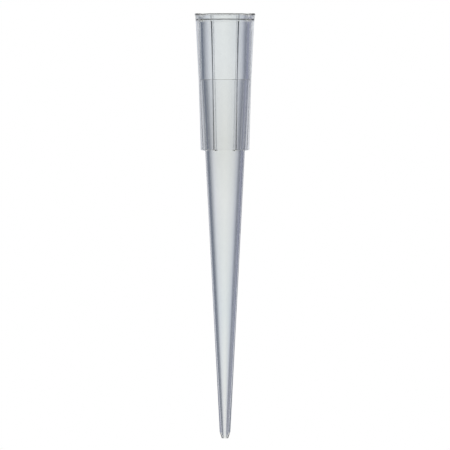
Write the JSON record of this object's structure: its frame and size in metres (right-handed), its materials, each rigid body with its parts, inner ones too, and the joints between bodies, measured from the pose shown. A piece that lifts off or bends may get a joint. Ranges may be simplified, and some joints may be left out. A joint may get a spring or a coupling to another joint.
{
  "type": "pipette tip",
  "caption": "Slender tapered disposable tip in clear plastic, with a ribbed collar and lip round its socket and a fine open point.",
  "frame": {"origin": "centre of the rim face at the wide end, which the tip stands on", "axes": "+Z along the tip's axis from the rim to the fine point; the first rib lies on +X"},
  "size_m": [0.0072, 0.0072, 0.051],
  "materials": {
    "clear_polypropylene": "gloss"
  },
  "bodies": {
    "root": {"pipette_tip": "clear_polypropylene"}
  },
  "joints": []
}
